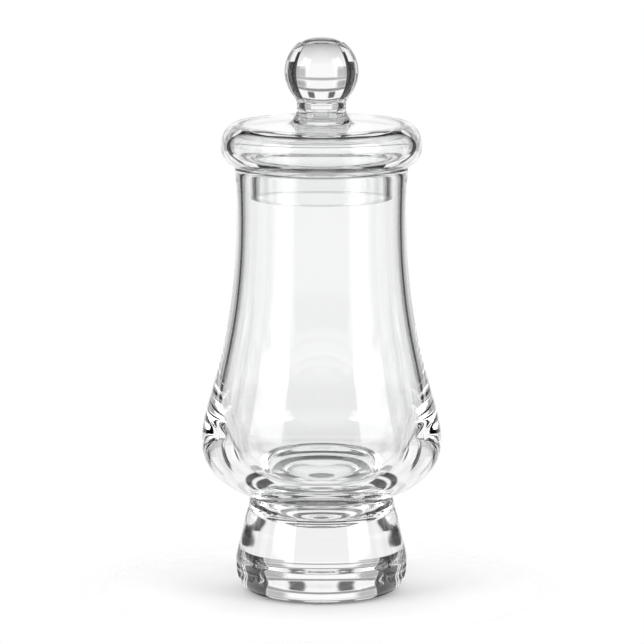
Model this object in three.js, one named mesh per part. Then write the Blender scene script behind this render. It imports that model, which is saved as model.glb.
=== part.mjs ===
import * as THREE from 'three';

// Whisky nosing glass with a loose glass lid. Millimetres, +Z up, standing on Z = 0.

// Facets round the axis and along each curve.
const ROUND_FACETS = 48;
const CURVE_FACETS = 8;

// Foot: a solid tapering block of glass with a rounded rim, a small hollow under it and a dished top.
const FOOT_HEIGHT = 26.5;
const FOOT_RADIUS = 23.2;
const FOOT_WIDEST_HEIGHT = 8.5;
const BASE_FLAT_RADIUS = 17.5;
const BASE_HOLLOW_RADIUS = 6.5;
const BASE_HOLLOW_DEPTH = 1.2;

// Waist: the flat ring where the bowl is fused to the foot's rim, round a pocket of air.
const WAIST_RADIUS = 19.1;
const SEAT_WIDTH = 2.6;
const POCKET_DEPTH = 5;

// Bowl: height of the lip, outside radii, and how far the belly and the neck lie from waist and lip.
const GLASS_HEIGHT = 115.8;
const BELLY_RADIUS = 32.5;
const BELLY_RISE = 14.7;
const NECK_RADIUS = 22.85;
const LIP_RISE = 13.3;
const LIP_FLARE = 0.45;
const LIP_ROUND = 1;

// Bowl: glass thickness at the neck, the belly and the floor, and the bulge of its round bottom.
const NECK_WALL = 1.7;
const BELLY_WALL = 4.75;
const FLOOR_THICKNESS = 7;
const BOTTOM_BULGE = 3.9;
const HOLLOW_BELLY_RISE = 6.9;

// Lid: a hollow disc with a rounded rim, open to a ring that drops into the mouth, and a ball knob.
const LID_THICKNESS = 11.7;
const LID_OVERHANG = 3.8;
const LID_EDGE_DEPTH = 4.7;
const LID_ROOF = 2;
const LID_RIM_WALL = 2.6;
const LID_FLOOR = 1.8;
const LID_SEAT_GAP = 0.1;
const RING_CLEARANCE = 2.15;
const RING_WALL = 1.35;
const RING_DEPTH = 8.3;
const RING_EDGE_ROUND = 0.5;
const KNOB_RADIUS = 9.95;
const KNOB_RISE = 13.75;
const KNOB_NECK_RADIUS = 6.6;
const KNOB_NECK_RISE = 4.4;
const KNOB_ROOT_FLARE = 2;
const KNOB_TIP_RADIUS = 5.7;
const KNOB_TIP_RISE = 1.05;

// Curve handles, each a share of the length of its own curve.
const FOOT_RIM_BELOW = 0.68;
const FOOT_RIM_INWARD = 0.72;
const FOOT_SIDE_START = 0.12;
const FOOT_SIDE_END = 0.4;
const DISH_WALL = 0.75;
const DISH_FLOOR = 0.8;
const BOTTOM_MIDDLE = 0.4;
const BOTTOM_EDGE = 0.5;
const BELLY_UNDER_START = 0.46;
const BELLY_UNDER_END = 0.56;
const SHOULDER_START = 0.17;
const SHOULDER_END = 0.59;
const LIP_START = 0.8;
const LIP_END = 0.12;
const HOLLOW_SHOULDER_START = 0.19;
const HOLLOW_SHOULDER_END = 0.59;
const HOLLOW_UNDER_START = 0.77;
const HOLLOW_UNDER_END = 0.74;
const KNOB_ROOT_HANDLE = 0.5;
const KNOB_TIP_EDGE = 0.45;
const KNOB_TIP_CROWN = 0.7;

// How steeply the underside of the bowl leaves the waist, and where the ball meets its neck.
const BELLY_UNDER_SLOPE = 0.29;
const KNOB_BLEND_ANGLE = THREE.MathUtils.degToRad(-41);

// Levels and radii that follow from the sizes above.
const seatRadius = WAIST_RADIUS - SEAT_WIDTH;
const bottomLevel = FOOT_HEIGHT - BOTTOM_BULGE;
const dishLevel = bottomLevel - POCKET_DEPTH;
const bellyLevel = FOOT_HEIGHT + BELLY_RISE;
const neckLevel = GLASS_HEIGHT - LIP_RISE;
const lipRadius = NECK_RADIUS + LIP_FLARE;
const mouthRadius = NECK_RADIUS - NECK_WALL;
const floorLevel = bottomLevel + FLOOR_THICKNESS;
const hollowRadius = BELLY_RADIUS - BELLY_WALL;
const hollowLevel = bellyLevel + HOLLOW_BELLY_RISE;
const lidLevel = GLASS_HEIGHT + LID_SEAT_GAP;
const lidRadius = lipRadius + LID_OVERHANG;
const ringRadius = mouthRadius - RING_CLEARANCE;
const boreRadius = ringRadius - RING_WALL;

// Turn a closed half-section (radius, height) round the Z axis.
function turned(name, section, look) {
  const outline = section.getPoints(CURVE_FACETS);
  const geometry = new THREE.LatheGeometry(outline, ROUND_FACETS);
  geometry.rotateX(Math.PI / 2);
  const mesh = new THREE.Mesh(geometry, new THREE.MeshStandardMaterial(look));
  mesh.name = name;
  return mesh;
}

// Foot, from the hollow under its middle, round the rim, up the side to the waist and into the dish.
function footSection() {
  const rimIn = BASE_FLAT_RADIUS + FOOT_RIM_INWARD * (FOOT_RADIUS - BASE_FLAT_RADIUS);
  const rimLow = FOOT_WIDEST_HEIGHT * (1 - FOOT_RIM_BELOW);
  const side = FOOT_HEIGHT - FOOT_WIDEST_HEIGHT;
  const lean = (FOOT_RADIUS - WAIST_RADIUS) * FOOT_SIDE_END;
  const path = new THREE.Path();
  path.moveTo(0, BASE_HOLLOW_DEPTH);
  path.quadraticCurveTo(BASE_HOLLOW_RADIUS / 2, BASE_HOLLOW_DEPTH, BASE_HOLLOW_RADIUS, 0);
  path.lineTo(BASE_FLAT_RADIUS, 0);
  path.bezierCurveTo(rimIn, 0, FOOT_RADIUS, rimLow, FOOT_RADIUS, FOOT_WIDEST_HEIGHT);
  path.bezierCurveTo(
    FOOT_RADIUS, FOOT_WIDEST_HEIGHT + FOOT_SIDE_START * side,
    WAIST_RADIUS + lean, FOOT_HEIGHT - FOOT_SIDE_END * side,
    WAIST_RADIUS, FOOT_HEIGHT,
  );
  path.lineTo(seatRadius, FOOT_HEIGHT);
  path.bezierCurveTo(
    seatRadius, FOOT_HEIGHT - DISH_WALL * (FOOT_HEIGHT - dishLevel),
    DISH_FLOOR * seatRadius, dishLevel,
    0, dishLevel,
  );
  return path;
}

// Bowl, from its round bottom to the waist, up the outside, over the lip and down inside to the floor.
function bowlSection() {
  const underRun = BELLY_UNDER_START * (BELLY_RADIUS - WAIST_RADIUS);
  const shoulderClimb = neckLevel - bellyLevel;
  const hollowDrop = hollowLevel - floorLevel;
  const hollowClimb = neckLevel - hollowLevel;
  const lipMiddle = (lipRadius + mouthRadius) / 2;
  const lipHalf = (lipRadius - mouthRadius) / 2;
  const lipBase = GLASS_HEIGHT - LIP_ROUND;
  const lipClimb = lipBase - neckLevel;
  const path = new THREE.Path();
  path.moveTo(0, bottomLevel);
  path.bezierCurveTo(
    BOTTOM_MIDDLE * seatRadius, bottomLevel,
    BOTTOM_EDGE * seatRadius, bottomLevel,
    seatRadius, FOOT_HEIGHT,
  );
  path.lineTo(WAIST_RADIUS, FOOT_HEIGHT);
  path.bezierCurveTo(
    WAIST_RADIUS + underRun, FOOT_HEIGHT + underRun * BELLY_UNDER_SLOPE,
    BELLY_RADIUS, bellyLevel - BELLY_UNDER_END * BELLY_RISE,
    BELLY_RADIUS, bellyLevel,
  );
  path.bezierCurveTo(
    BELLY_RADIUS, bellyLevel + SHOULDER_START * shoulderClimb,
    NECK_RADIUS, neckLevel - SHOULDER_END * shoulderClimb,
    NECK_RADIUS, neckLevel,
  );
  path.bezierCurveTo(
    NECK_RADIUS, neckLevel + LIP_START * lipClimb,
    lipRadius, lipBase - LIP_END * lipClimb,
    lipRadius, lipBase,
  );
  path.absellipse(lipMiddle, lipBase, lipHalf, LIP_ROUND, 0, Math.PI, false, 0);
  path.lineTo(mouthRadius, neckLevel);
  path.bezierCurveTo(
    mouthRadius, neckLevel - HOLLOW_SHOULDER_END * hollowClimb,
    hollowRadius, hollowLevel + HOLLOW_SHOULDER_START * hollowClimb,
    hollowRadius, hollowLevel,
  );
  path.bezierCurveTo(
    hollowRadius, hollowLevel - HOLLOW_UNDER_START * hollowDrop,
    HOLLOW_UNDER_END * hollowRadius, floorLevel,
    0, floorLevel,
  );
  return path;
}

// Lid disc, its flat underside at level zero: from the roof of the hollow, round the inside of the
// rim, down through the floor at the ring's bore and round the outside of the half-round rim.
function discSection() {
  const half = LID_THICKNESS / 2;
  const flatRadius = lidRadius - LID_EDGE_DEPTH;
  const roof = LID_THICKNESS - LID_ROOF;
  const hollowHalf = (roof - LID_FLOOR) / 2;
  const hollowFlat = lidRadius - LID_RIM_WALL - hollowHalf;
  const hollowMiddle = LID_FLOOR + hollowHalf;
  const path = new THREE.Path();
  path.moveTo(0, roof);
  path.lineTo(hollowFlat, roof);
  path.absarc(hollowFlat, hollowMiddle, hollowHalf, Math.PI / 2, -Math.PI / 2, true);
  path.quadraticCurveTo(boreRadius, LID_FLOOR, boreRadius, 0);
  path.lineTo(flatRadius, 0);
  path.absellipse(flatRadius, half, LID_EDGE_DEPTH, half, -Math.PI / 2, Math.PI / 2, false, 0);
  path.lineTo(0, LID_THICKNESS);
  return path;
}

// Locating ring under the disc, with its lower edge rounded.
function ringSection() {
  const half = RING_WALL / 2;
  const edge = RING_EDGE_ROUND - RING_DEPTH;
  const path = new THREE.Path();
  path.moveTo(boreRadius, 0);
  path.lineTo(boreRadius, edge);
  path.absellipse(ringRadius - half, edge, half, RING_EDGE_ROUND, Math.PI, 2 * Math.PI, false, 0);
  path.lineTo(ringRadius, 0);
  path.lineTo(boreRadius, 0);
  return path;
}

// Knob on top of the disc: a flared root, a short neck and a ball with a low round tip.
function knobSection() {
  const centre = LID_THICKNESS + KNOB_RISE;
  const neck = LID_THICKNESS + KNOB_NECK_RISE;
  const rootRadius = KNOB_NECK_RADIUS + KNOB_ROOT_FLARE;
  const blendRadius = KNOB_RADIUS * Math.cos(KNOB_BLEND_ANGLE);
  const blendLevel = centre + KNOB_RADIUS * Math.sin(KNOB_BLEND_ANGLE);
  const blendReach = (blendRadius - KNOB_NECK_RADIUS) / -Math.sin(KNOB_BLEND_ANGLE);
  const rootReach = KNOB_ROOT_HANDLE * KNOB_NECK_RISE;
  const tipAngle = Math.acos(KNOB_TIP_RADIUS / KNOB_RADIUS);
  const tipLevel = centre + KNOB_RADIUS * Math.sin(tipAngle);
  const topLevel = tipLevel + KNOB_TIP_RISE;
  const path = new THREE.Path();
  path.moveTo(0, LID_THICKNESS);
  path.lineTo(rootRadius, LID_THICKNESS);
  path.bezierCurveTo(
    rootRadius - KNOB_ROOT_FLARE / 2, LID_THICKNESS + rootReach / 2,
    KNOB_NECK_RADIUS, neck - rootReach,
    KNOB_NECK_RADIUS, neck,
  );
  path.quadraticCurveTo(
    KNOB_NECK_RADIUS, blendLevel - blendReach * Math.cos(KNOB_BLEND_ANGLE),
    blendRadius, blendLevel,
  );
  path.absarc(0, centre, KNOB_RADIUS, KNOB_BLEND_ANGLE, tipAngle, false);
  path.bezierCurveTo(
    KNOB_TIP_RADIUS, tipLevel + KNOB_TIP_EDGE * KNOB_TIP_RISE,
    KNOB_TIP_CROWN * KNOB_TIP_RADIUS, topLevel,
    0, topLevel,
  );
  return path;
}

const bowl = turned('bowl', bowlSection(), { color: 0xe6efee, roughness: 0.03, metalness: 0 });
const foot = turned('foot', footSection(), { color: 0xdde8e7, roughness: 0.03, metalness: 0 });

const disc = turned('lid_disc', discSection(), { color: 0xe2ecec, roughness: 0.03, metalness: 0 });
disc.position.z = lidLevel;

const ring = turned('lid_locating_ring', ringSection(), { color: 0xe8f1f0, roughness: 0.04, metalness: 0 });
ring.position.z = lidLevel;

const knob = turned('lid_knob', knobSection(), { color: 0xe4eeee, roughness: 0.03, metalness: 0 });
knob.position.z = lidLevel;

const group = new THREE.Group();
group.name = 'whisky_glass_with_lid';
group.add(bowl, foot, disc, ring, knob);

export default group;
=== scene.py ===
"""Whisky nosing glass with a loose glass lid, dressed as clear polished glass in a white studio."""

import logging
import math
from dataclasses import dataclass, field
from enum import Enum

import bmesh
import bpy
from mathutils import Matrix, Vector

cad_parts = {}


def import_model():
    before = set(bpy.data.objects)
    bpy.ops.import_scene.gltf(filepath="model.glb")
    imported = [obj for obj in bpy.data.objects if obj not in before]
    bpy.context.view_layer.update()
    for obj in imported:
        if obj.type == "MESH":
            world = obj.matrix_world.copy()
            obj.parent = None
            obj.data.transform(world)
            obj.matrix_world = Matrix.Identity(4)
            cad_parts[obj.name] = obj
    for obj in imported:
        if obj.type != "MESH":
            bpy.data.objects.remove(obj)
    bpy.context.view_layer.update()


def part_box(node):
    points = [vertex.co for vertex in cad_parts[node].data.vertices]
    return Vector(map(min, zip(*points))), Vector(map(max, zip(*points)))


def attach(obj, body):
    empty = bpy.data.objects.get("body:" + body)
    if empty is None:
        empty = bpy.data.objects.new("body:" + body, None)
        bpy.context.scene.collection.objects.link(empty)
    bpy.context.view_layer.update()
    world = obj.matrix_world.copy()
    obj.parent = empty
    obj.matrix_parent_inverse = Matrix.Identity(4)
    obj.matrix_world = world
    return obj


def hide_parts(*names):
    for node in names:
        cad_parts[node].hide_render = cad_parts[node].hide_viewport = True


LOG = logging.getLogger("whisky_glass")
MM = 0.001
WHITE = (1.0, 1.0, 1.0, 1.0)
# A point of a half-section that is nearer than this to the axis, in millimetres, lies on it.
ON_AXIS = 1e-6

Point = tuple[float, float]
Tree = bpy.types.NodeTree
Socket = bpy.types.NodeSocket
Source = Socket | float


class Operation(Enum):
    """What a Math node works out, in Blender's words."""

    ADD = "ADD"
    SUBTRACT = "SUBTRACT"
    MULTIPLY = "MULTIPLY"
    DIVIDE = "DIVIDE"
    MAXIMUM = "MAXIMUM"
    ARC_SINE = "ARCSINE"
    ARC_TANGENT = "ARCTAN2"
    DEGREES = "DEGREES"


# Half-sections


def between(first: Point, second: Point, share: float) -> Point:
    """The point that lies a share of the way from one point to another."""
    return (first[0] + (second[0] - first[0]) * share, first[1] + (second[1] - first[1]) * share)


def along(knots: tuple[Point, ...], share: float) -> Point:
    """The point that lies a share of the way along a Bezier curve.

    Args:
        knots: The curve's start, its handles and its end.
        share: How far along it, from 0 to 1.

    Returns:
        The point.
    """
    while len(knots) > 1:
        knots = tuple(between(first, second, share) for first, second in zip(knots, knots[1:]))
    return knots[0]


class HalfSection:
    """A half-section of a turned piece: radius and height in millimetres, traced in order."""

    def __init__(self, start: Point) -> None:
        """Starts the outline at a radius and height."""
        self.points: list[Point] = [start]
        self.corners: list[tuple[Point, float]] = []

    def line(self, end: Point, steps: int) -> None:
        """Adds a straight stretch that ends at a point and is cut into a number of pieces."""
        self.bend((), end, steps)

    def bend(self, handles: tuple[Point, ...], end: Point, steps: int) -> None:
        """Adds a curve.

        Args:
            handles: The points that pull on it: two, one, or none for a straight stretch.
            end: Where it ends.
            steps: How many pieces it is cut into.
        """
        knots = (self.points[-1], *handles, end)
        for i in range(1, steps + 1):
            self.points.append(along(knots, i / steps))

    def arc(self, centre: Point, radii: Point, begin: float, end: float, steps: int) -> None:
        """Adds a stretch of an ellipse, which begins at the last point.

        Args:
            centre: Middle of the ellipse.
            radii: Its half-width and half-height.
            begin: Angle at the last point, in degrees from the outward direction.
            end: Angle at the end.
            steps: How many pieces it is cut into.
        """
        for i in range(1, steps + 1):
            angle = math.radians(begin + (end - begin) * i / steps)
            out, up = radii[0] * math.cos(angle), radii[1] * math.sin(angle)
            self.points.append((centre[0] + out, centre[1] + up))

    def soften(self, reach: float) -> None:
        """Marks the last point as a corner, to be rounded as far as `reach` on each side."""
        self.corners.append((self.points[-1], reach))

    def rounded(self, steps: int = 8) -> list[Point]:
        """Rounds every marked corner.

        Args:
            steps: Pieces in each rounding.

        Returns:
            The finished outline.
        """
        outline = list(self.points)
        for corner, reach in self.corners:
            middle = outline.index(corner)
            start, end = (
                between(corner, neighbour, reach / math.dist(corner, neighbour))
                for neighbour in (outline[middle - 1], outline[middle + 1])
            )
            before = [point for point in outline[:middle] if math.dist(point, corner) > reach]
            after = [point for point in outline[middle + 1 :] if math.dist(point, corner) > reach]
            blend = [along((start, corner, end), i / steps) for i in range(steps + 1)]
            outline = before + blend + after
        return outline


def turn(name: str, outline: list[Point], facets: int, finish: bpy.types.Material) -> bpy.types.Object:
    """Turns a half-section that starts and ends on the axis into one closed, smooth mesh.

    Args:
        name: Name of the piece.
        outline: Radius and height of each point, in millimetres.
        facets: Faces round the axis.
        finish: Its material.

    Returns:
        The new object, linked to the scene.
    """
    mesh = bmesh.new()
    rings: list[list[bmesh.types.BMVert]] = []
    for radius, height in outline:
        ring = []
        for i in range(facets if radius > ON_AXIS else 1):
            angle = 2 * math.pi * i / facets
            spot = (radius * math.cos(angle) * MM, radius * math.sin(angle) * MM, height * MM)
            ring.append(mesh.verts.new(spot))
        rings.append(ring)
    for low, high in zip(rings, rings[1:]):
        for i in range(facets):
            j = (i + 1) % facets
            face = [low[i % len(low)], low[j % len(low)], high[j % len(high)], high[i % len(high)]]
            mesh.faces.new(list(dict.fromkeys(face)))
    bmesh.ops.recalc_face_normals(mesh, faces=mesh.faces)
    piece = link_mesh(name, mesh, finish)
    piece.data.shade_smooth()
    return piece


def link_mesh(name: str, mesh: bmesh.types.BMesh, finish: bpy.types.Material) -> bpy.types.Object:
    """Makes an object of a finished mesh and frees the mesh.

    Args:
        name: Name of the object.
        mesh: Its mesh.
        finish: Its material.

    Returns:
        The object, linked to the scene.
    """
    data = bpy.data.meshes.new(name)
    mesh.to_mesh(data)
    mesh.free()
    data.materials.append(finish)
    piece = bpy.data.objects.new(name, data)
    bpy.context.scene.collection.objects.link(piece)
    return piece


# Shader nodes


def feed(tree: Tree, slot: Socket, source: Source) -> None:
    """Gives an input what it takes.

    Args:
        tree: The nodes that it belongs to.
        slot: The input.
        source: A socket to link to it, or a number to set on it.
    """
    if isinstance(source, bpy.types.NodeSocket):
        tree.links.new(source, slot)
    else:
        slot.default_value = source


def calc(tree: Tree, operation: Operation, first: Source, second: Source = 0.0) -> Socket:
    """Adds one Math node.

    Args:
        tree: Where it goes.
        operation: What it works out.
        first: First socket or number.
        second: Second socket or number.

    Returns:
        Its result.
    """
    node = tree.nodes.new("ShaderNodeMath")
    node.operation = operation.value
    for slot, source in zip(node.inputs, (first, second)):
        feed(tree, slot, source)
    return node.outputs["Value"]


def remap(tree: Tree, value: Source, low: Source, high: Source, ends: tuple[Source, Source]) -> Socket:
    """Adds a smooth ramp between two values.

    Args:
        tree: Where it goes.
        value: What is read.
        low: Where the ramp starts.
        high: Where it ends.
        ends: Result at its start and end.

    Returns:
        The ramp's result.
    """
    node = tree.nodes.new("ShaderNodeMapRange")
    node.interpolation_type = "SMOOTHSTEP"
    sources = {"Value": value, "From Min": low, "From Max": high, "To Min": ends[0], "To Max": ends[1]}
    for label, source in sources.items():
        feed(tree, node.inputs[label], source)
    return node.outputs["Result"]


def graded(tree: Tree, value: Socket, stops: tuple[Point, ...]) -> Socket:
    """Adds a grey scale with straight stretches between its stops.

    Args:
        tree: Where it goes.
        value: What is read.
        stops: Each value read and the grey it gives, in rising order.

    Returns:
        The grey.
    """
    first, last = stops[0][0], stops[-1][0]
    node = tree.nodes.new("ShaderNodeValToRGB")
    scale = node.color_ramp
    while len(scale.elements) < len(stops):
        scale.elements.new(0.5)
    for element, (place, grey) in zip(scale.elements, stops):
        element.position = (place - first) / (last - first)
        element.color = (grey, grey, grey, 1.0)
    share = tree.nodes.new("ShaderNodeMapRange")
    for label, source in {"Value": value, "From Min": first, "From Max": last}.items():
        feed(tree, share.inputs[label], source)
    tree.links.new(share.outputs["Result"], node.inputs["Fac"])
    return node.outputs["Color"]


def noise(tree: Tree, where: Socket, scale: Source, detail: float) -> Socket:
    """Adds a noise texture.

    Args:
        tree: Where it goes.
        where: Coordinates.
        scale: Waves per metre.
        detail: Octaves.

    Returns:
        Its value, about 0.5 on average.
    """
    node = tree.nodes.new("ShaderNodeTexNoise")
    for label, source in {"Vector": where, "Scale": scale, "Detail": detail}.items():
        feed(tree, node.inputs[label], source)
    return node.outputs["Fac"]


def apart(tree: Tree, vector: Socket) -> tuple[Socket, Socket, Socket]:
    """Adds a node that takes a vector apart.

    Args:
        tree: Where it goes.
        vector: The vector.

    Returns:
        Its x, y and z.
    """
    node = tree.nodes.new("ShaderNodeSeparateXYZ")
    tree.links.new(vector, node.inputs["Vector"])
    return node.outputs["X"], node.outputs["Y"], node.outputs["Z"]


def azimuth_of(tree: Tree, x: Socket, y: Socket) -> Socket:
    """The angle round the glass, in degrees from straight behind it."""
    return calc(tree, Operation.DEGREES, calc(tree, Operation.ARC_TANGENT, x, y))


# Shader node groups


def new_group(name: str, inputs: tuple[str, ...], outputs: tuple[str, ...]) -> Tree:
    """Makes an empty shader node group with number sockets.

    Args:
        name: Name of the group.
        inputs: Names of the inputs.
        outputs: Names of the outputs.

    Returns:
        The group, with its input and output nodes placed.
    """
    group = bpy.data.node_groups.new(name, "ShaderNodeTree")
    for label in inputs:
        group.interface.new_socket(name=label, in_out="INPUT", socket_type="NodeSocketFloat")
    for label in outputs:
        group.interface.new_socket(name=label, in_out="OUTPUT", socket_type="NodeSocketFloat")
    group.nodes.new("NodeGroupInput")
    group.nodes.new("NodeGroupOutput")
    return group


def group_ends(group: Tree) -> tuple[bpy.types.Node, bpy.types.Node]:
    """The input and output nodes of a group."""
    return group.nodes["Group Input"], group.nodes["Group Output"]


def place_group(tree: Tree, group: Tree, values: dict[str, Source]) -> bpy.types.Node:
    """Places a group among other nodes.

    Args:
        tree: Where it goes.
        group: The group.
        values: What each of its inputs takes.

    Returns:
        The group's node.
    """
    node = tree.nodes.new("ShaderNodeGroup")
    node.node_tree = group
    for label, source in values.items():
        feed(tree, node.inputs[label], source)
    return node


def hot_work_group() -> Tree:
    """Faint waves that hot working leaves in the skin of the glass, and strands that run round it.

    Returns:
        A group that puts out a height and a tint share for striae.
    """
    flattening = (1.0, 1.0, 3.2)
    group = new_group("hot_work_waves", ("Wave Scale", "Strand Scale"), ("Height", "Striae"))
    start, end = group_ends(group)
    place = group.nodes.new("ShaderNodeTexCoord").outputs["Object"]
    broad = noise(group, place, start.outputs["Wave Scale"], detail=1.0)
    stretch = group.nodes.new("ShaderNodeMapping")
    stretch.inputs["Scale"].default_value = flattening
    group.links.new(place, stretch.inputs["Vector"])
    strands = noise(group, stretch.outputs["Vector"], start.outputs["Strand Scale"], detail=3.0)
    group.links.new(broad, end.inputs["Height"])
    group.links.new(strands, end.inputs["Striae"])
    return group


def handling_group() -> Tree:
    """Traces of polishing and handling.

    Returns:
        A group that puts out a mask, mostly zero with a few soft smears.
    """
    onset, full = 0.55, 0.78
    group = new_group("handling_traces", ("Smear Scale", "Amount"), ("Mask",))
    start, end = group_ends(group)
    place = group.nodes.new("ShaderNodeTexCoord").outputs["Object"]
    smear = noise(group, place, start.outputs["Smear Scale"], detail=4.0)
    mask = remap(group, smear, onset, full, (0.0, 1.0))
    group.links.new(calc(group, Operation.MULTIPLY, mask, start.outputs["Amount"]), end.inputs["Mask"])
    return group


def patch_group() -> Tree:
    """One soft-edged patch, between bounds for its azimuth and for its height or radius.

    Returns:
        A group that puts out 1 inside the patch and 0 outside it.
    """
    bounds = (("Azimuth", "Left", "Right"), ("Rise", "Bottom", "Top"))
    labels = tuple(label for bound in bounds for label in bound)
    group = new_group("soft_patch", (*labels, "Softness"), ("Mask",))
    start, end = group_ends(group)
    soft = start.outputs["Softness"]
    mask: Source = 1.0
    for reading, low, high in bounds:
        for edge, ends in ((low, (0.0, 1.0)), (high, (1.0, 0.0))):
            first = calc(group, Operation.SUBTRACT, start.outputs[edge], soft)
            last = calc(group, Operation.ADD, start.outputs[edge], soft)
            ramp = remap(group, start.outputs[reading], first, last, ends)
            mask = calc(group, Operation.MULTIPLY, mask, ramp)
    group.links.new(mask, end.inputs["Mask"])
    return group


@dataclass
class EffectGroups:
    """The node groups that the finishes and the studio share, each built once."""

    hot_work: Tree = field(default_factory=hot_work_group)
    handling: Tree = field(default_factory=handling_group)
    patch: Tree = field(default_factory=patch_group)


# Finishes


@dataclass(frozen=True)
class ClearGlass:
    """Clear, polished, hot-worked glass."""

    name: str
    tint: tuple[float, float, float]
    ior: float = 1.52
    striae_depth: float = 0.012
    wave_height_mm: float = 0.006
    wave_scale: float = 60.0
    strand_scale: float = 25.0
    polish: float = 0.0
    smear_roughness: float = 0.008
    smear_scale: float = 45.0
    smear_amount: float = 1.0

    def build(self, groups: EffectGroups) -> bpy.types.Material:
        """Makes the material.

        Args:
            groups: Shared node groups.

        Returns:
            The material.
        """
        material = bpy.data.materials.new(self.name)
        material.use_nodes = True
        tree = material.node_tree
        shader = tree.nodes["Principled BSDF"]
        shader.inputs["Transmission Weight"].default_value = 1.0
        shader.inputs["Metallic"].default_value = 0.0
        shader.inputs["IOR"].default_value = self.ior
        scales = {"Wave Scale": self.wave_scale, "Strand Scale": self.strand_scale}
        waves = place_group(tree, groups.hot_work, scales)
        tree.links.new(self._colour(tree, waves.outputs["Striae"]), shader.inputs["Base Color"])
        tree.links.new(self._roughness(tree, groups.handling), shader.inputs["Roughness"])
        tree.links.new(self._skin(tree, waves.outputs["Height"]), shader.inputs["Normal"])
        return material

    def _colour(self, tree: Tree, striae: Socket) -> Socket:
        """Deepens the tint a little along the striae.

        Args:
            tree: The material's nodes.
            striae: Share of the deeper tint.

        Returns:
            The colour.
        """
        mix = tree.nodes.new("ShaderNodeMix")
        mix.data_type = "RGBA"
        mix.inputs["A"].default_value = (*self.tint, 1.0)
        mix.inputs["B"].default_value = (*(part * (1 - self.striae_depth) for part in self.tint), 1.0)
        tree.links.new(striae, mix.inputs["Factor"])
        return mix.outputs["Result"]

    def _roughness(self, tree: Tree, handling: Tree) -> Socket:
        """Dulls the polish a little where the glass was handled.

        Args:
            tree: The material's nodes.
            handling: The group of handling traces.

        Returns:
            The roughness.
        """
        values = {"Smear Scale": self.smear_scale, "Amount": self.smear_amount}
        smears = place_group(tree, handling, values)
        return remap(tree, smears.outputs["Mask"], 0.0, 1.0, (self.polish, self.smear_roughness))

    def _skin(self, tree: Tree, height: Socket) -> Socket:
        """Turns the waves' height into a normal.

        Args:
            tree: The material's nodes.
            height: Height of the waves, from 0 to 1.

        Returns:
            The normal.
        """
        bump = tree.nodes.new("ShaderNodeBump")
        bump.inputs["Strength"].default_value = 1.0
        bump.inputs["Distance"].default_value = self.wave_height_mm * MM
        tree.links.new(height, bump.inputs["Height"])
        return bump.outputs["Normal"]


# Sub-assemblies: sizes in millimetres, and curve handles as shares of the stretch that they pull on


@dataclass
class Foot:
    """The thick tapered foot, hollowed a little under its middle and dished on top."""

    height: float
    radius: float
    widest_height: float = 8.5
    flat_radius: float = 17.5
    hollow_radius: float = 6.5
    hollow_depth: float = 1.2
    waist_radius: float = 19.1
    seat_width: float = 2.6
    seat_film: float = 0.04
    dish_depth: float = 8.9
    hollow_handles: Point = (0.45, 0.75)
    rim_handles: Point = (0.72, 0.32)
    side_handles: Point = (0.12, 0.4)
    dish_handles: Point = (0.75, 0.8)
    facets: int = 224

    @classmethod
    def from_frame(cls) -> "Foot":
        """The foot at the size of its CAD node."""
        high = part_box("foot")[1]
        return cls(height=high.z / MM, radius=high.x / MM)

    @property
    def seat_edge(self) -> float:
        """Radius of the inner edge of the seat."""
        return self.waist_radius - self.seat_width

    def outline(self) -> list[Point]:
        """The half-section, from under the middle, round the rim, up the side and down into the dish.

        Returns:
            Its points.
        """
        section = HalfSection((0.0, self.hollow_depth))
        self._underside(section)
        self._side(section)
        self._dish(section)
        return section.points

    def _underside(self, section: HalfSection) -> None:
        """Traces the hollow, the flat ring that the glass stands on, and the rounded rim.

        Args:
            section: The outline so far.
        """
        hollow, flat, widest = self.hollow_radius, self.flat_radius, self.widest_height
        inner, outer = self.hollow_handles
        section.bend(((hollow * inner, self.hollow_depth), (hollow * outer, 0.0)), (hollow, 0.0), steps=24)
        section.line((flat, 0.0), steps=4)
        below, beside = self.rim_handles
        rim = flat + below * (self.radius - flat)
        section.bend(((rim, 0.0), (self.radius, widest * beside)), (self.radius, widest), steps=32)

    def _side(self, section: HalfSection) -> None:
        """Traces the tapering side up to the seat, a film of air short of the bowl.

        Args:
            section: The outline so far.
        """
        top = self.height - self.seat_film
        widest, waist = (self.radius, self.widest_height), (self.waist_radius, self.height)
        low, high = self.side_handles
        upright = (self.radius, self.widest_height + low * (self.height - self.widest_height))
        section.bend((upright, between(waist, widest, high)), (self.waist_radius, top), steps=40)
        section.line((self.seat_edge, top), steps=3)

    def _dish(self, section: HalfSection) -> None:
        """Traces the dish inside the seat.

        Args:
            section: The outline so far.
        """
        floor = self.height - self.dish_depth
        down, out = self.dish_handles
        wall = (self.seat_edge, self.height - down * self.dish_depth)
        section.bend((wall, (out * self.seat_edge, floor)), (0.0, floor), steps=48)

    def build(self, finish: bpy.types.Material) -> bpy.types.Object:
        """Makes the foot and hands it to the frame.

        Args:
            finish: Its material.

        Returns:
            The piece.
        """
        piece = turn("glass_foot", self.outline(), self.facets, finish)
        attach(piece, "glass")
        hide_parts("foot")
        return piece


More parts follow.
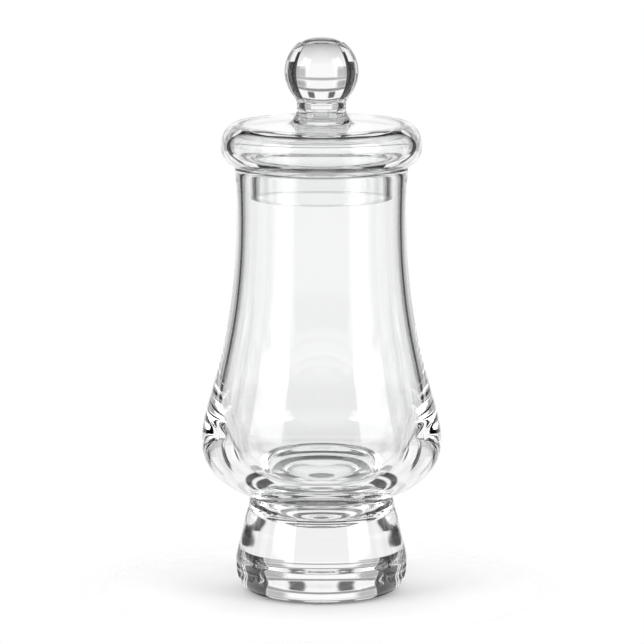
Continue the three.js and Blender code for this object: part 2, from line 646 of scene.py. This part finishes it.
@dataclass
class Bowl:
    """The tulip-shaped bowl, with a round bottom that stands in the foot's dish."""

    seat_level: float
    seat_edge: float
    waist_radius: float
    bottom_level: float
    belly_radius: float
    lip_level: float
    belly_rise: float = 14.7
    neck_radius: float = 22.85
    lip_rise: float = 13.3
    lip_flare: float = 0.45
    lip_round: float = 1.0
    neck_wall: float = 1.7
    belly_wall: float = 4.75
    floor_thickness: float = 7.0
    hollow_belly_rise: float = 6.9
    bottom_handles: Point = (0.4, 0.5)
    under_handles: Point = (0.46, 0.56)
    under_slope: float = 0.29
    shoulder_handles: Point = (0.17, 0.59)
    lip_handles: Point = (0.8, 0.12)
    hollow_shoulder_handles: Point = (0.59, 0.19)
    hollow_floor_handles: Point = (0.77, 0.74)
    facets: int = 224

    @classmethod
    def from_frame(cls, foot: Foot) -> "Bowl":
        """The bowl at the size and place of its CAD node.

        Args:
            foot: The foot that it stands on.

        Returns:
            The bowl.
        """
        low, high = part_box("bowl")
        return cls(
            seat_level=foot.height,
            seat_edge=foot.seat_edge,
            waist_radius=foot.waist_radius,
            bottom_level=low.z / MM,
            belly_radius=high.x / MM,
            lip_level=high.z / MM,
        )

    @property
    def belly_level(self) -> float:
        """Height at which the outside is widest."""
        return self.seat_level + self.belly_rise

    @property
    def neck_level(self) -> float:
        """Height at which the neck starts to flare."""
        return self.lip_level - self.lip_rise

    @property
    def mouth_radius(self) -> float:
        """Radius of the hollow in the neck."""
        return self.neck_radius - self.neck_wall

    def outline(self) -> list[Point]:
        """The half-section, from the round bottom, up the outside, over the lip and down the inside.

        Returns:
            Its points.
        """
        section = HalfSection((0.0, self.bottom_level))
        self._bottom(section)
        self._outside(section)
        self._lip(section)
        self._inside(section)
        return section.points

    def _bottom(self, section: HalfSection) -> None:
        """Traces the round bottom and the flat ring that sits on the foot.

        Args:
            section: The outline so far.
        """
        handles = tuple((share * self.seat_edge, self.bottom_level) for share in self.bottom_handles)
        section.bend(handles, (self.seat_edge, self.seat_level), steps=32)
        section.line((self.waist_radius, self.seat_level), steps=3)

    def _outside(self, section: HalfSection) -> None:
        """Traces the bowl's outside from the waist, round the belly, to the neck.

        Args:
            section: The outline so far.
        """
        belly, neck = self.belly_level, self.neck_level
        out, down = self.under_handles
        run = out * (self.belly_radius - self.waist_radius)
        under = (self.waist_radius + run, self.seat_level + self.under_slope * run)
        upright = (self.belly_radius, belly - down * self.belly_rise)
        section.bend((under, upright), (self.belly_radius, belly), steps=56)
        low, high = self.shoulder_handles
        climb = neck - belly
        shoulder = ((self.belly_radius, belly + low * climb), (self.neck_radius, neck - high * climb))
        section.bend(shoulder, (self.neck_radius, neck), steps=72)

    def _lip(self, section: HalfSection) -> None:
        """Traces the slight flare and the fire-polished lip.

        Args:
            section: The outline so far.
        """
        lip, mouth, neck = self.neck_radius + self.lip_flare, self.mouth_radius, self.neck_level
        base = self.lip_level - self.lip_round
        low, high = self.lip_handles
        climb = base - neck
        flare = ((self.neck_radius, neck + low * climb), (lip, base - high * climb))
        section.bend(flare, (lip, base), steps=24)
        half = (lip - mouth) / 2
        section.arc(((lip + mouth) / 2, base), (half, self.lip_round), begin=0.0, end=180.0, steps=24)

    def _inside(self, section: HalfSection) -> None:
        """Traces the hollow down to its floor.

        Args:
            section: The outline so far.
        """
        mouth, neck = self.mouth_radius, self.neck_level
        widest, level = self.belly_radius - self.belly_wall, self.belly_level + self.hollow_belly_rise
        floor = self.bottom_level + self.floor_thickness
        section.line((mouth, neck), steps=6)
        high, low = self.hollow_shoulder_handles
        climb = neck - level
        shoulder = ((mouth, neck - high * climb), (widest, level + low * climb))
        section.bend(shoulder, (widest, level), steps=64)
        down, out = self.hollow_floor_handles
        cup = ((widest, level - down * (level - floor)), (out * widest, floor))
        section.bend(cup, (0.0, floor), steps=64)

    def build(self, finish: bpy.types.Material) -> bpy.types.Object:
        """Makes the bowl and hands it to the frame.

        Args:
            finish: Its material.

        Returns:
            The piece.
        """
        piece = turn("glass_bowl", self.outline(), self.facets, finish)
        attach(piece, "glass")
        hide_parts("bowl")
        return piece


@dataclass
class Lid:
    """The loose lid: hollow disc, locating ring and knob in one piece of glass."""

    underside: float
    top: float
    radius: float
    ring_radius: float
    ring_bottom: float
    knob_radius: float
    knob_top: float
    edge_depth: float = 4.7
    roof: float = 2.0
    rim_wall: float = 2.6
    floor: float = 1.8
    ring_wall: float = 1.35
    ring_edge_round: float = 0.2
    ring_root_softness: float = 0.7
    bore_drop: float = 1.0
    knob_rise: float = 13.75
    knob_neck_radius: float = 6.6
    knob_neck_rise: float = 4.4
    knob_root_flare: float = 2.0
    knob_root_handle: float = 0.5
    knob_root_softness: float = 0.6
    knob_blend_angle: float = -41.0
    tip_cut: float = 7.95
    tip_radius: float = 5.0
    tip_ledge: float = 0.25
    tip_ledge_rise: float = 0.036
    tip_edge_rise: float = 0.12
    tip_crown_handle: float = 0.75
    facets: int = 192

    @classmethod
    def from_frame(cls) -> "Lid":
        """The lid at the size and place of its CAD nodes.

        Returns:
            The lid.
        """
        low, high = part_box("lid_disc")
        ring_low, ring_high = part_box("lid_locating_ring")
        knob_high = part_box("lid_knob")[1]
        return cls(
            underside=low.z / MM,
            top=high.z / MM,
            radius=high.x / MM,
            ring_radius=ring_high.x / MM,
            ring_bottom=ring_low.z / MM,
            knob_radius=knob_high.x / MM,
            knob_top=knob_high.z / MM,
        )

    @property
    def bore(self) -> float:
        """Inner radius of the ring."""
        return self.ring_radius - self.ring_wall

    @property
    def knob_centre(self) -> float:
        """Height of the middle of the ball."""
        return self.top + self.knob_rise

    def outline(self) -> list[Point]:
        """The half-section, from the roof of the hollow, round the ring and the rim, to the knob's top.

        Returns:
            Its points.
        """
        section = HalfSection((0.0, self.top - self.roof))
        self._hollow(section)
        self._ring(section)
        self._disc(section)
        self._knob_neck(section)
        self._knob_ball(section)
        return section.rounded()

    def _hollow(self, section: HalfSection) -> None:
        """Traces the hollow's roof, the inside of the rim, and the way down into the ring.

        Args:
            section: The outline so far.
        """
        roof, floor = self.top - self.roof, self.underside + self.floor
        half = (roof - floor) / 2
        flat = self.radius - self.rim_wall - half
        corner = (self.bore, floor)
        section.line((flat, roof), steps=12)
        section.arc((flat, floor + half), (half, half), begin=90.0, end=-90.0, steps=48)
        section.bend((corner, corner), (self.bore, self.underside - self.bore_drop), steps=24)

    def _ring(self, section: HalfSection) -> None:
        """Traces the locating ring.

        Args:
            section: The outline so far.
        """
        edge, half = self.ring_bottom + self.ring_edge_round, self.ring_wall / 2
        middle = (self.ring_radius - half, edge)
        section.line((self.bore, edge), steps=8)
        section.arc(middle, (half, self.ring_edge_round), begin=180.0, end=360.0, steps=16)
        section.line((self.ring_radius, self.underside), steps=8)
        section.soften(self.ring_root_softness)

    def _disc(self, section: HalfSection) -> None:
        """Traces the rest of the underside, the half-round rim and the top.

        Args:
            section: The outline so far.
        """
        half, flat = (self.top - self.underside) / 2, self.radius - self.edge_depth
        middle = (flat, self.underside + half)
        section.line((flat, self.underside), steps=4)
        section.arc(middle, (self.edge_depth, half), begin=-90.0, end=90.0, steps=64)
        section.line((self.knob_neck_radius + self.knob_root_flare, self.top), steps=12)
        section.soften(self.knob_root_softness)

    def _knob_neck(self, section: HalfSection) -> None:
        """Traces the knob's root, its neck, and the curve that runs on into the ball.

        Args:
            section: The outline so far.
        """
        radius, neck = self.knob_neck_radius, self.top + self.knob_neck_rise
        root = self.knob_root_handle * self.knob_neck_rise
        flare = (radius + self.knob_root_flare / 2, self.top + root / 2)
        section.bend((flare, (radius, neck - root)), (radius, neck), steps=24)
        angle = math.radians(self.knob_blend_angle)
        ball = (self.knob_radius * math.cos(angle), self.knob_centre + self.knob_radius * math.sin(angle))
        reach = (ball[0] - radius) / -math.sin(angle)
        meeting = (radius, ball[1] - reach * math.cos(angle))
        section.bend((meeting,), ball, steps=16)

    def _knob_ball(self, section: HalfSection) -> None:
        """Traces the ball and its low round tip, with a ledge between them.

        Args:
            section: The outline so far.
        """
        radius, level = self.knob_radius, self.knob_centre + self.tip_cut
        cut = math.degrees(math.asin(self.tip_cut / radius))
        section.arc((0.0, self.knob_centre), (radius, radius), self.knob_blend_angle, cut, steps=64)
        section.line((self.tip_radius + self.tip_ledge, level + self.tip_ledge_rise), steps=2)
        edge = (self.tip_radius, level + self.tip_edge_rise)
        crown = (self.tip_crown_handle * self.tip_radius, self.knob_top)
        section.bend((edge, crown), (0.0, self.knob_top), steps=24)

    def build(self, finish: bpy.types.Material) -> bpy.types.Object:
        """Makes the lid and hands it to the frame.

        Args:
            finish: Its material.

        Returns:
            The piece.
        """
        piece = turn("glass_lid", self.outline(), self.facets, finish)
        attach(piece, "lid")
        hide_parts("lid_disc", "lid_locating_ring", "lid_knob")
        return piece


# Studio


@dataclass(frozen=True)
class Panel:
    """A soft-edged patch of the studio round the glass, with a mirrored twin on the other side.

    Its near and far edges are azimuths in degrees from straight behind the glass, and its bottom and top
    are elevations in degrees. On the floor they are the inner and outer radius in millimetres instead, and
    there the patch is painted shadow.
    """

    near: float
    far: float
    bottom: float
    top: float
    strength: float
    softness: float = 1.0

    def lay(self, tree: Tree, patch: Tree, readings: dict[str, Source], level: Source) -> Socket:
        """Lays the panel and its twin over what stands behind them.

        Args:
            tree: The nodes they go to.
            patch: The group of the soft patch.
            readings: The azimuth, and the rise, which is an elevation or a radius.
            level: Strength of what stands behind them.

        Returns:
            The strength with both in place.
        """
        for left, right in ((-self.far, -self.near), (self.near, self.far)):
            sides = {"Left": left, "Right": right, "Bottom": self.bottom, "Top": self.top}
            node = place_group(tree, patch, {**readings, **sides, "Softness": self.softness})
            level = remap(tree, node.outputs["Mask"], 0.0, 1.0, (level, self.strength))
        return level


# Azimuths a degree past the middle, at which a panel runs into its twin behind and in front of the glass.
BEHIND, IN_FRONT = -1.0, 181.0

# Grey of the backdrop by elevation in degrees.
BACKDROP_GREYS = (
    (-90.0, 0.06),
    (-45.0, 0.1),
    (-42.0, 0.45),
    (-36.0, 0.62),
    (-22.0, 0.86),
    (-13.0, 1.0),
    (46.0, 1.0),
    (50.0, 0.08),
    (90.0, 0.03),
)

# Grey wings and seams of the backdrop, from the table upward.
BACKDROP_PANELS = (
    Panel(near=18.0, far=32.0, bottom=-12.0, top=0.0, strength=0.5, softness=2.0),
    Panel(near=BEHIND, far=32.0, bottom=0.0, top=3.0, strength=0.45),
    Panel(near=18.0, far=33.0, bottom=4.0, top=13.0, strength=0.4, softness=4.0),
    Panel(near=BEHIND, far=32.0, bottom=13.0, top=17.0, strength=0.3),
    Panel(near=9.0, far=18.0, bottom=18.0, top=29.0, strength=0.12, softness=2.0),
    Panel(near=BEHIND, far=30.0, bottom=32.0, top=38.0, strength=0.1),
)

# The dark room round the backdrop, and the strips of light that hang in it.
DARK_ROOM = Panel(near=32.0, far=IN_FRONT, bottom=-91.0, top=91.0, strength=0.02)
BRIGHT_STRIPS = (
    Panel(near=34.0, far=39.0, bottom=-45.0, top=-32.0, strength=0.9),
    Panel(near=39.5, far=57.0, bottom=-45.0, top=-18.0, strength=1.0),
    Panel(near=56.0, far=58.0, bottom=-20.0, top=46.0, strength=1.0),
    Panel(near=60.0, far=63.0, bottom=-45.0, top=46.0, strength=1.0),
    Panel(near=63.0, far=70.0, bottom=-20.0, top=0.0, strength=1.0),
    Panel(near=70.0, far=73.0, bottom=-45.0, top=46.0, strength=1.0),
    Panel(near=84.0, far=96.0, bottom=-45.0, top=46.0, strength=1.0),
)

# The grey wall behind the camera, and a softbox on each side of it with a brighter upper half.
FRONT_WALL = Panel(near=142.0, far=IN_FRONT, bottom=-30.0, top=80.0, strength=0.5, softness=1.5)
SOFTBOXES = (
    Panel(near=105.0, far=141.0, bottom=-42.0, top=12.0, strength=1.15, softness=2.0),
    Panel(near=105.0, far=141.0, bottom=10.0, top=42.0, strength=4.0, softness=2.0),
)

# Painted shadow on the floor, which only the glass shows: a dot and two rings under the foot, then pieces
# of rings round it.
FLOOR_PAINTED_SHADOWS = (
    Panel(near=BEHIND, far=IN_FRONT, bottom=-1.0, top=3.5, strength=0.1, softness=0.5),
    Panel(near=BEHIND, far=IN_FRONT, bottom=8.5, top=12.5, strength=0.05, softness=0.5),
    Panel(near=BEHIND, far=IN_FRONT, bottom=16.5, top=21.0, strength=0.05, softness=0.5),
    Panel(near=14.0, far=31.0, bottom=26.5, top=38.0, strength=0.05, softness=1.5),
    Panel(near=45.0, far=108.0, bottom=27.5, top=36.0, strength=0.03, softness=1.5),
    Panel(near=45.0, far=108.0, bottom=39.5, top=46.0, strength=0.03, softness=1.5),
)


@dataclass
class Studio:
    """Floor, surroundings and camera. Sizes in metres, lens and sensor in millimetres."""

    floor_radius: float = 0.07
    floor_facets: int = 96
    floor_drop: float = 0.0002
    floor_fade: tuple[float, float] = (0.04, 0.069)
    floor_edge: tuple[float, float] = (0.06, 0.069)
    floor_colour: tuple[float, float, float] = (0.97, 0.97, 0.97)
    floor_grey: float = 0.92
    bounces: int = 28
    lens: float = 268.6
    sensor: float = 36.0
    clip: tuple[float, float] = (0.05, 20.0)
    camera_place: tuple[float, float, float] = (0.000135, -1.28, 0.284)
    camera_aim: tuple[float, float, float] = (0.000135, 0.0, 0.07344)

    def build(self, groups: EffectGroups) -> None:
        """Makes everything round the glass.

        Args:
            groups: Shared node groups.
        """
        self._world(groups.patch)
        self._floor(groups.patch)
        self._camera()
        scene = bpy.context.scene
        scene.view_settings.view_transform = "Standard"
        scene.cycles.max_bounces = scene.cycles.glossy_bounces = self.bounces
        scene.cycles.transmission_bounces = self.bounces

    def _world(self, patch: Tree) -> None:
        """White for the camera and the floor, and a ring of panels for what the glass bends and mirrors.

        Args:
            patch: The group of the soft patch.
        """
        world = bpy.data.worlds.new("studio")
        world.use_nodes = True
        bpy.context.scene.world = world
        tree = world.node_tree
        x, y, z = apart(tree, tree.nodes.new("ShaderNodeTexCoord").outputs["Generated"])
        elevation = calc(tree, Operation.DEGREES, calc(tree, Operation.ARC_SINE, z))
        readings = {"Azimuth": azimuth_of(tree, x, y), "Rise": elevation}
        level: Source = graded(tree, elevation, BACKDROP_GREYS)
        for panel in (*BACKDROP_PANELS, DARK_ROOM, *BRIGHT_STRIPS, FRONT_WALL, *SOFTBOXES):
            level = panel.lay(tree, patch, readings, level)
        path = tree.nodes.new("ShaderNodeLightPath").outputs
        plain = calc(tree, Operation.MAXIMUM, path["Is Camera Ray"], path["Is Diffuse Ray"])
        background = tree.nodes["Background"]
        background.inputs["Color"].default_value = WHITE
        tree.links.new(remap(tree, plain, 0.0, 1.0, (level, 1.0)), background.inputs["Strength"])

    def _floor(self, patch: Tree) -> None:
        """A pale floor, just under the glass, that fades into the white round it.

        Args:
            patch: The group of the soft patch.
        """
        mesh = bmesh.new()
        bmesh.ops.create_circle(mesh, cap_ends=True, radius=self.floor_radius, segments=self.floor_facets)
        floor = link_mesh("floor", mesh, self._floor_finish(patch))
        floor.location.z = -self.floor_drop

    def _floor_finish(self, patch: Tree) -> bpy.types.Material:
        """Pale matt floor, clear at its rim, with painted shadow rings on it that only the glass shows.

        Args:
            patch: The group of the soft patch.

        Returns:
            The material.
        """
        material = bpy.data.materials.new("pale_floor")
        material.use_nodes = True
        tree = material.node_tree
        tree.nodes.remove(tree.nodes["Principled BSDF"])
        place = tree.nodes.new("ShaderNodeTexCoord").outputs["Object"]
        length = tree.nodes.new("ShaderNodeVectorMath")
        length.operation = "LENGTH"
        tree.links.new(place, length.inputs[0])
        radius = length.outputs["Value"]
        matt = tree.nodes.new("ShaderNodeBsdfDiffuse")
        matt.inputs["Color"].default_value = (*self.floor_colour, 1.0)
        painted_shadow_glow = tree.nodes.new("ShaderNodeEmission")
        # the glow that the glass sees carries the painted shadow rings and patches
        feed(tree, painted_shadow_glow.inputs["Strength"], self._painted_floor_shadow(tree, patch, place, radius))
        clear = tree.nodes.new("ShaderNodeBsdfTransparent")
        path = tree.nodes.new("ShaderNodeLightPath").outputs
        in_glass = calc(tree, Operation.MAXIMUM, path["Is Transmission Ray"], path["Is Glossy Ray"])
        seen = self._mixed(tree, in_glass, matt.outputs["BSDF"], painted_shadow_glow.outputs["Emission"])
        fade = remap(tree, radius, *self.floor_fade, (0.0, 1.0))
        edge = remap(tree, radius, *self.floor_edge, (0.0, 1.0))
        rim = remap(tree, in_glass, 0.0, 1.0, (fade, edge))
        whole = self._mixed(tree, rim, seen, clear.outputs["BSDF"])
        tree.links.new(whole, tree.nodes["Material Output"].inputs["Surface"])
        return material

    def _painted_floor_shadow(self, tree: Tree, patch: Tree, place: Socket, radius: Socket) -> Source:
        """Lays the painted shadow rings and patches on the floor.

        Args:
            tree: The floor's nodes.
            patch: The group of the soft patch.
            place: Where on the floor.
            radius: Its distance from the axis, in metres.

        Returns:
            How bright the floor is through the glass.
        """
        x, y, _ = apart(tree, place)
        millimetres = calc(tree, Operation.DIVIDE, radius, MM)
        readings = {"Azimuth": azimuth_of(tree, x, y), "Rise": millimetres}
        level: Source = self.floor_grey
        # painted shadow, laid over the floor's even glow
        for shadow_patch in FLOOR_PAINTED_SHADOWS:
            level = shadow_patch.lay(tree, patch, readings, level)
        return level

    @staticmethod
    def _mixed(tree: Tree, share: Socket, first: Socket, second: Socket) -> Socket:
        """Mixes two shaders.

        Args:
            tree: Where the mix goes.
            share: Share of the second.
            first: First shader.
            second: Second shader.

        Returns:
            The mix.
        """
        node = tree.nodes.new("ShaderNodeMixShader")
        for socket, slot in zip((share, first, second), node.inputs):
            tree.links.new(socket, slot)
        return node.outputs["Shader"]

    def _camera(self) -> None:
        """A long lens, a little above the lid."""
        data = bpy.data.cameras.new("camera")
        data.lens = self.lens
        data.sensor_width = self.sensor
        data.clip_start, data.clip_end = self.clip
        camera = bpy.data.objects.new("camera", data)
        bpy.context.scene.collection.objects.link(camera)
        camera.location = self.camera_place
        line = Vector(self.camera_aim) - Vector(self.camera_place)
        camera.rotation_mode = "QUATERNION"
        camera.rotation_quaternion = line.to_track_quat("-Z", "Y")
        bpy.context.scene.camera = camera


def main() -> None:
    """Loads the frame, builds each sub-assembly and the studio, and reports each piece."""
    logging.basicConfig(level=logging.INFO, format="%(name)s: %(message)s")
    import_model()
    groups = EffectGroups()
    clear_tint = (0.995, 1.0, 0.998)
    bowl_finish = ClearGlass("bowl_glass", clear_tint).build(groups)
    lid_finish = ClearGlass("lid_glass", clear_tint, wave_height_mm=0.003).build(groups)
    foot = Foot.from_frame()
    pieces = [
        foot.build(bowl_finish),
        Bowl.from_frame(foot).build(bowl_finish),
        Lid.from_frame().build(lid_finish),
    ]
    Studio().build(groups)
    for piece in pieces:
        LOG.info("%s: %d faces", piece.name, len(piece.data.polygons))


if __name__ == "__main__":
    main()
